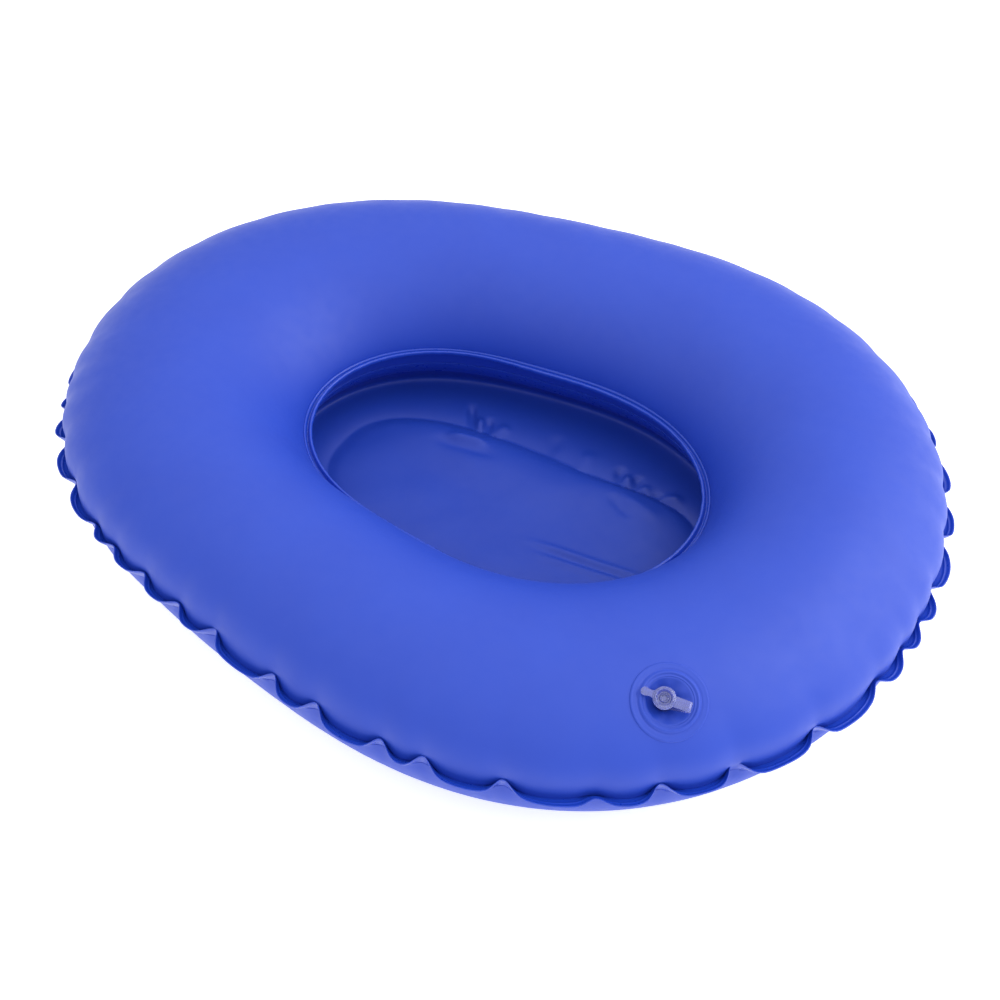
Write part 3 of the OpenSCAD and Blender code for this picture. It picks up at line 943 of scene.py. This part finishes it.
def flap(material):
    """Thin domed disc with a round hinge bead, which closes the stem's inner end."""
    z = -9.3
    profile = [
        (0, z - 0.6), (3, z - 0.6), (3.6, z - 0.55), (3.9, z - 0.3), (3.8, z - 0.05),
        (3.2, z), (2.4, z + 0.02), (1.2, z - 0.1), (0, z - 0.15),
    ]
    points, faces = lathe_faces(profile, 72)
    hinge_x, bead_r, half = 3.9, 0.3, 1.2
    base = len(points)
    turns = 2 * math.pi * np.arange(BEAD_STEPS) / BEAD_STEPS
    beads = []
    for y, r in ((-half, 0.18), (-half + 0.12, bead_r), (half - 0.12, bead_r), (half, 0.18)):
        beads += [(hinge_x + r * math.cos(a), y, z - 0.3 + r * math.sin(a)) for a in turns]
    for ring in range(3):
        for i in range(BEAD_STEPS):
            j = (i + 1) % BEAD_STEPS
            a, b = base + ring * BEAD_STEPS, base + (ring + 1) * BEAD_STEPS
            faces.append([a + i, a + j, b + j, b + i])
    faces.append([base + i for i in range(BEAD_STEPS)][::-1])
    faces.append([base + 3 * BEAD_STEPS + i for i in range(BEAD_STEPS)])
    return new_piece("inner_flap", in_stem(np.concatenate([points, beads])), faces, material)


# ---- materials ----


def new_material(name):
    """A material, its node tree and its shader."""
    material = bpy.data.materials.new(name)
    material.use_nodes = True
    return material, material.node_tree, material.node_tree.nodes["Principled BSDF"]


def noise(tree, scale, detail, roughness=0.5):
    """A noise in the object's own coordinates, in metres."""
    place = tree.nodes.new("ShaderNodeTexCoord")
    texture = tree.nodes.new("ShaderNodeTexNoise")
    texture.inputs["Scale"].default_value = scale
    texture.inputs["Detail"].default_value = detail
    texture.inputs["Roughness"].default_value = roughness
    tree.links.new(place.outputs["Object"], texture.inputs["Vector"])
    return texture.outputs["Fac"]


def spread(tree, value, low, high):
    """value, from its middle range, spread from low to high."""
    node = tree.nodes.new("ShaderNodeMapRange")
    node.inputs["From Min"].default_value = 0.3
    node.inputs["From Max"].default_value = 0.7
    node.inputs["To Min"].default_value = low
    node.inputs["To Max"].default_value = high
    tree.links.new(value, node.inputs["Value"])
    return node.outputs["Result"]


def two_tone(tree, value, first, second):
    """Colour between first at 0 and second at 1."""
    node = tree.nodes.new("ShaderNodeMix")
    node.data_type = "RGBA"
    node.inputs["A"].default_value = (*first, 1)
    node.inputs["B"].default_value = (*second, 1)
    tree.links.new(value, node.inputs["Factor"])
    return node.outputs["Result"]


def bumped(tree, shader, layers):
    """Bump from several noises: each a (value, distance in metres, strength)."""
    last = None
    for value, distance, strength in layers:
        bump = tree.nodes.new("ShaderNodeBump")
        bump.inputs["Distance"].default_value = distance
        bump.inputs["Strength"].default_value = strength
        tree.links.new(value, bump.inputs["Height"])
        if last:
            tree.links.new(last, bump.inputs["Normal"])
        last = bump.outputs["Normal"]
    tree.links.new(last, shader.inputs["Normal"])


PVC_BLUE = (0.011, 0.052, 0.455)
PVC_DEEP = (0.01, 0.048, 0.435)
VINYL_LIGHT = (0.22, 0.26, 0.72)
VINYL_DARK = (0.18, 0.22, 0.68)


def pvc(name, low_rough, high_rough, grain, painted_shade_share=1.0, sheen=0.5):
    """Satin calendered PVC film with a fine grain and faint mottling.

    The share of the colour's full brightness, given before sheen, dims the whole sheet as painted
    shade where it is below 1, and sheen is the specular level.
    """
    # colours dimmed by that share: painted shade over the whole sheet where it is below 1
    light, dark = np.multiply(PVC_BLUE, painted_shade_share), np.multiply(PVC_DEEP, painted_shade_share)
    material, tree, shader = new_material(name)
    tone = spread(tree, noise(tree, 26, 3), 0, 1)
    tree.links.new(two_tone(tree, tone, light, dark), shader.inputs["Base Color"])
    rough = spread(tree, noise(tree, 140, 4), low_rough, high_rough)
    tree.links.new(rough, shader.inputs["Roughness"])
    shader.inputs["IOR"].default_value = 1.5
    shader.inputs["Specular IOR Level"].default_value = sheen
    layers = [(noise(tree, 2400, 2), 0.00006, grain), (noise(tree, 160, 3), 0.0004, 0.03)]
    bumped(tree, shader, layers)
    return material


def weld(name):
    """Heat-welded PVC: glossier, with a fine bump from two noises."""
    material, tree, shader = new_material(name)
    tone = spread(tree, noise(tree, 90, 3), 0, 1)
    tree.links.new(two_tone(tree, tone, PVC_BLUE, PVC_DEEP), shader.inputs["Base Color"])
    rough = spread(tree, noise(tree, 400, 3), 0.26, 0.38)
    tree.links.new(rough, shader.inputs["Roughness"])
    layers = [(noise(tree, 1800, 2), 0.00008, 0.35), (noise(tree, 420, 2), 0.0003, 0.2)]
    bumped(tree, shader, layers)
    return material


def vinyl(name):
    """Soft milky clear vinyl."""
    material, tree, shader = new_material(name)
    tone = spread(tree, noise(tree, 500, 3), 0, 1)
    colour = two_tone(tree, tone, VINYL_LIGHT, VINYL_DARK)
    tree.links.new(colour, shader.inputs["Base Color"])
    rough = spread(tree, noise(tree, 900, 3), 0.07, 0.14)
    tree.links.new(rough, shader.inputs["Roughness"])
    shader.inputs["Transmission Weight"].default_value = 0.66
    shader.inputs["IOR"].default_value = 1.5
    shader.inputs["Coat Weight"].default_value = 1
    shader.inputs["Coat Roughness"].default_value = 0.06
    bumped(tree, shader, [(noise(tree, 700, 1), 0.00004, 0.15)])
    return material


def floor_material():
    """Matt white studio floor."""
    material, tree, shader = new_material("studio_floor")
    tone = spread(tree, noise(tree, 3, 3), 0, 1)
    colour = two_tone(tree, tone, (0.93, 0.93, 0.93), (0.9, 0.9, 0.905))
    tree.links.new(colour, shader.inputs["Base Color"])
    shader.inputs["Roughness"].default_value = 0.7
    shader.inputs["Emission Color"].default_value = (1, 1, 1, 1)
    shader.inputs["Emission Strength"].default_value = 0.6
    return material


# ---- camera, floor and light ----

CAMERA_AIM = np.array([6.4, 0, 0])
CAMERA_FAR = 879  # from the aim to the camera
CAMERA_AZIMUTH = 30.8
CAMERA_ELEVATION = 46.3
CAMERA_LENS = 57.6
CAMERA_SHIFT = (0.0024, 0.011)


def toward(azimuth, elevation):
    """Unit vector to a place seen at that azimuth and elevation from the middle."""
    a, e = math.radians(azimuth), math.radians(elevation)
    return np.array([math.sin(a) * math.cos(e), -math.cos(a) * math.cos(e), math.sin(e)])


def aim(thing, place, target):
    """Puts a camera or light at place, in millimetres, pointing at target."""
    thing.location = Vector(place * MM)
    back = Vector((place - target) * MM)
    thing.rotation_euler = back.to_track_quat("Z", "Y").to_euler()
    bpy.context.scene.collection.objects.link(thing)


def make_camera():
    """The camera, at the photograph's viewing angle."""
    data = bpy.data.cameras.new("camera")
    data.lens = CAMERA_LENS
    data.sensor_width = 36
    data.shift_x, data.shift_y = CAMERA_SHIFT
    data.clip_start, data.clip_end = 0.05, 50
    camera = bpy.data.objects.new("camera", data)
    back = toward(CAMERA_AZIMUTH, CAMERA_ELEVATION)
    aim(camera, CAMERA_AIM + back * CAMERA_FAR, CAMERA_AIM)
    bpy.context.scene.camera = camera


def make_light(name, azimuth, elevation, far, size, power):
    """A round soft light that points at the object's middle."""
    data = bpy.data.lights.new(name, "AREA")
    data.shape = "DISK"
    data.size = size * MM
    data.energy = power
    lamp = bpy.data.objects.new(name, data)
    aim(lamp, toward(azimuth, elevation) * far, np.zeros(3))


def sky_light(tree):
    """White tent: dim at the horizon and bright overhead."""
    background = tree.nodes["Background"]
    place = tree.nodes.new("ShaderNodeTexCoord")
    split = tree.nodes.new("ShaderNodeSeparateXYZ")
    tree.links.new(place.outputs["Generated"], split.inputs["Vector"])
    ramp = tree.nodes.new("ShaderNodeValToRGB")
    ramp.color_ramp.elements[0].position = 0.1
    ramp.color_ramp.elements[0].color = (0.28, 0.29, 0.32, 1)
    ramp.color_ramp.elements[1].position = 0.75
    ramp.color_ramp.elements[1].color = (1, 1, 1, 1)
    tree.links.new(split.outputs["Z"], ramp.inputs["Fac"])
    tree.links.new(ramp.outputs["Color"], background.inputs["Color"])
    background.inputs["Strength"].default_value = 1.42


def make_studio():
    """Pale floor, white tent and one large soft light from the side."""
    half = 16000
    points = [(x, y, -0.2) for x, y in ((-half, -half), (half, -half), (half, half), (-half, half))]
    floor = new_piece("studio_floor", points, [[0, 1, 2, 3]], floor_material())
    world = bpy.data.worlds.new("studio")
    bpy.context.scene.world = world
    world.use_nodes = True
    sky_light(world.node_tree)
    make_light("key", azimuth=124, elevation=34, far=2200, size=2600, power=36)
    bpy.context.scene.view_settings.view_transform = "Standard"


# ---- putting it together ----

make_camera()
make_studio()

ring_pvc = pvc("ring_pvc", 0.5, 0.58, 0.3)
# the basin's film is the ring's blue PVC dimmed to 0.82: painted shade for its place deep inside
# the ring
basin_pvc_shaded = pvc("basin_pvc_shaded", 0.47, 0.57, 0.5, 0.82, 0.38)
welded_pvc = weld("welded_pvc")
clear_vinyl = vinyl("clear_vinyl")

upper_sheet = upper_ring(ring_pvc)
lower_sheet = lower_ring(ring_pvc)
outer_weld = flange(welded_pvc)
inner_weld = weld_rim(welded_pvc)
basin_film = basin(basin_pvc_shaded)
weld_band = basin_band(welded_pvc)
patch = valve_patch(ring_pvc)
for piece, node, slot in (
    (upper_sheet, "upper_ring_sheet", "pvc_film"),
    (lower_sheet, "lower_ring_sheet", "pvc_film"),
    (outer_weld, "outer_weld_flange", "weld_seam"),
    (inner_weld, "inner_weld_rim", "weld_seam"),
    (basin_film, "basin_sheet", "pvc_film"),
    (weld_band, "basin_weld_band", "weld_seam"),
    (patch, "valve_patch", "pvc_film"),
):
    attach(piece, "root")
    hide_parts(node)

soft_dish = dish(ring_pvc)
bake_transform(soft_dish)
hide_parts("valve_dish")

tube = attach(stem(clear_vinyl), "stem")
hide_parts("valve_stem")
fold, arm = strap_pieces(clear_vinyl)
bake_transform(fold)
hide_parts("tether_post")
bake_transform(arm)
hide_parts("plug_tether")
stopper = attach(plug(clear_vinyl), "plug")
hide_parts("valve_plug", "plug_nub")
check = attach(flap(clear_vinyl), "flap")
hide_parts("check_flap")
